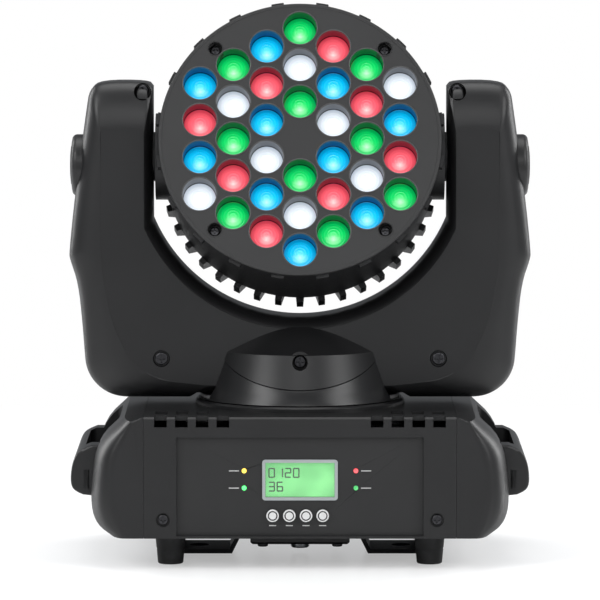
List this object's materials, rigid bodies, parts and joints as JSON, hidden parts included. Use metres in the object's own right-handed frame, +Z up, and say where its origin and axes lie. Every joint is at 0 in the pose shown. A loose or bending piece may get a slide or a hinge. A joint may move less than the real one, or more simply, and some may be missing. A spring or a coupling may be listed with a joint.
{
  "type": "moving head light",
  "caption": "Stage light with a round lamp head that tilts in a yoke, which pans on a boxy base with handles, a screen, menu buttons and hanging brackets.",
  "frame": {"origin": "where the pan axis meets the surface that the feet stand on", "axes": "+Z up along the pan axis, the lamps and the screen face -Y, +X to the right of a person who faces the screen"},
  "size_m": [0.2988, 0.186, 0.3573],
  "materials": {
    "black_plastic": "satin black moulded plastic",
    "face_plastic": "fine matt black plastic",
    "panel_black": "smooth satin black",
    "black_paint": "fine textured black powder coat",
    "sink_black": "black anodised casting",
    "black_screws": "blackened steel",
    "steel": "turned steel",
    "plated_steel": "zinc plated",
    "motor_paint": "satin",
    "pulley_aluminium": "machined",
    "rubber": "matt",
    "belt_rubber": "matt",
    "light_trim": "satin light grey",
    "window": "clear",
    "screen_green": "lit green screen",
    "circuit_board": "solder mask",
    "indicators": "clear tinted resin",
    "socket_plastic": "satin",
    "button_white": "satin",
    "fan_plastic": "satin",
    "lamp_board": "white solder mask",
    "lens_red": "lit collimator lens",
    "lens_green": "lit collimator lens",
    "lens_blue": "lit collimator lens",
    "lens_white": "lit collimator lens"
  },
  "bodies": {
    "base": {"base_front_cover": "black_plastic", "base_top_cover": "black_plastic", "base_rear_panel": "black_paint", "base_screws": "black_screws", "end_caps": "black_plastic", "feet": "rubber", "hanging_brackets": "black_paint", "quarter_turn_locks": "black_paint", "bottom_hatch": "black_plastic", "safety_eye": "steel", "chassis": "black_paint", "control_panel": "panel_black", "screen_bezel": "light_trim", "screen_window": "window", "screen_module": "screen_green", "display_board": "circuit_board", "indicator_lights": "indicators", "bearing_plate": "plated_steel", "pan_bearing_outer": "steel", "pan_motor": "motor_paint", "pan_belt": "belt_rubber", "pan_collar": "black_plastic", "power_supply": "plated_steel", "driver_board": "circuit_board", "power_inlet": "socket_plastic", "data_sockets": "socket_plastic"},
    "button_1": {"menu_button_1": "button_white"},
    "button_2": {"menu_button_2": "button_white"},
    "button_3": {"menu_button_3": "button_white"},
    "button_4": {"menu_button_4": "button_white"},
    "pan_motor_rotor": {"pan_motor_pulley": "pulley_aluminium"},
    "yoke": {"pan_bearing_inner": "steel", "pan_pulley": "pulley_aluminium", "pan_shaft": "steel", "yoke_front_cover": "black_plastic", "yoke_rear_cover": "black_plastic", "turret_ring": "black_plastic", "yoke_frame": "plated_steel", "side_caps": "black_plastic", "yoke_screws": "black_screws", "tilt_bearing_outers": "steel", "tilt_motor": "motor_paint", "tilt_belt": "belt_rubber"},
    "tilt_motor_rotor": {"tilt_motor_pulley": "pulley_aluminium"},
    "head": {"tilt_bearing_inners": "steel", "tilt_pulley": "pulley_aluminium", "trunnions": "sink_black", "face_plate": "face_plastic", "head_shell": "black_paint", "lenses_red": "lens_red", "lenses_green": "lens_green", "lenses_blue": "lens_blue", "lenses_white": "lens_white", "lens_holder": "black_plastic", "lamp_board": "lamp_board", "heat_sink": "sink_black", "fan_frame": "fan_plastic", "rear_cover": "black_paint", "head_screws": "black_screws"},
    "fan": {"fan_rotor": "fan_plastic"}
  },
  "joints": [
    {"name": "pan", "type": "hinge", "parent": "base", "child": "yoke", "pos_m": [0, 0, 0.101], "axis": [0, 0, 1], "range_deg": [-270, 270]},
    {"name": "tilt", "type": "hinge", "parent": "yoke", "child": "head", "pos_m": [0, 0, 0.2575], "axis": [-1, 0, 0], "range_deg": [-65, 205]},
    {"name": "pan_motor_spin", "type": "hinge", "parent": "base", "child": "pan_motor_rotor", "pos_m": [0.056, 0, 0.066], "axis": [0, 0, 1], "range_deg": [-1012.5, 1012.5]},
    {"name": "tilt_motor_spin", "type": "hinge", "parent": "yoke", "child": "tilt_motor_rotor", "pos_m": [0.108, 0, 0.153], "axis": [-1, 0, 0], "range_deg": [-178.75, 563.75]},
    {"name": "fan_spin", "type": "hinge", "parent": "head", "child": "fan", "pos_m": [0, 0, 0.2575], "axis": [0, -0.9397, 0.342], "continuous": true},
    {"name": "press_1", "type": "slide", "parent": "base", "child": "button_1", "axis": [0, 1, 0], "range_m": [0, 0.0012], "stiffness_N_per_m": 300, "springref_m": -0.0012},
    {"name": "press_2", "type": "slide", "parent": "base", "child": "button_2", "axis": [0, 1, 0], "range_m": [0, 0.0012], "stiffness_N_per_m": 300, "springref_m": -0.0012},
    {"name": "press_3", "type": "slide", "parent": "base", "child": "button_3", "axis": [0, 1, 0], "range_m": [0, 0.0012], "stiffness_N_per_m": 300, "springref_m": -0.0012},
    {"name": "press_4", "type": "slide", "parent": "base", "child": "button_4", "axis": [0, 1, 0], "range_m": [0, 0.0012], "stiffness_N_per_m": 300, "springref_m": -0.0012}
  ],
  "couplings": [
    {"joint": "pan_motor_spin", "follows": "pan", "ratio": 3.75},
    {"joint": "tilt_motor_spin", "follows": "tilt", "ratio": 2.75}
  ]
}
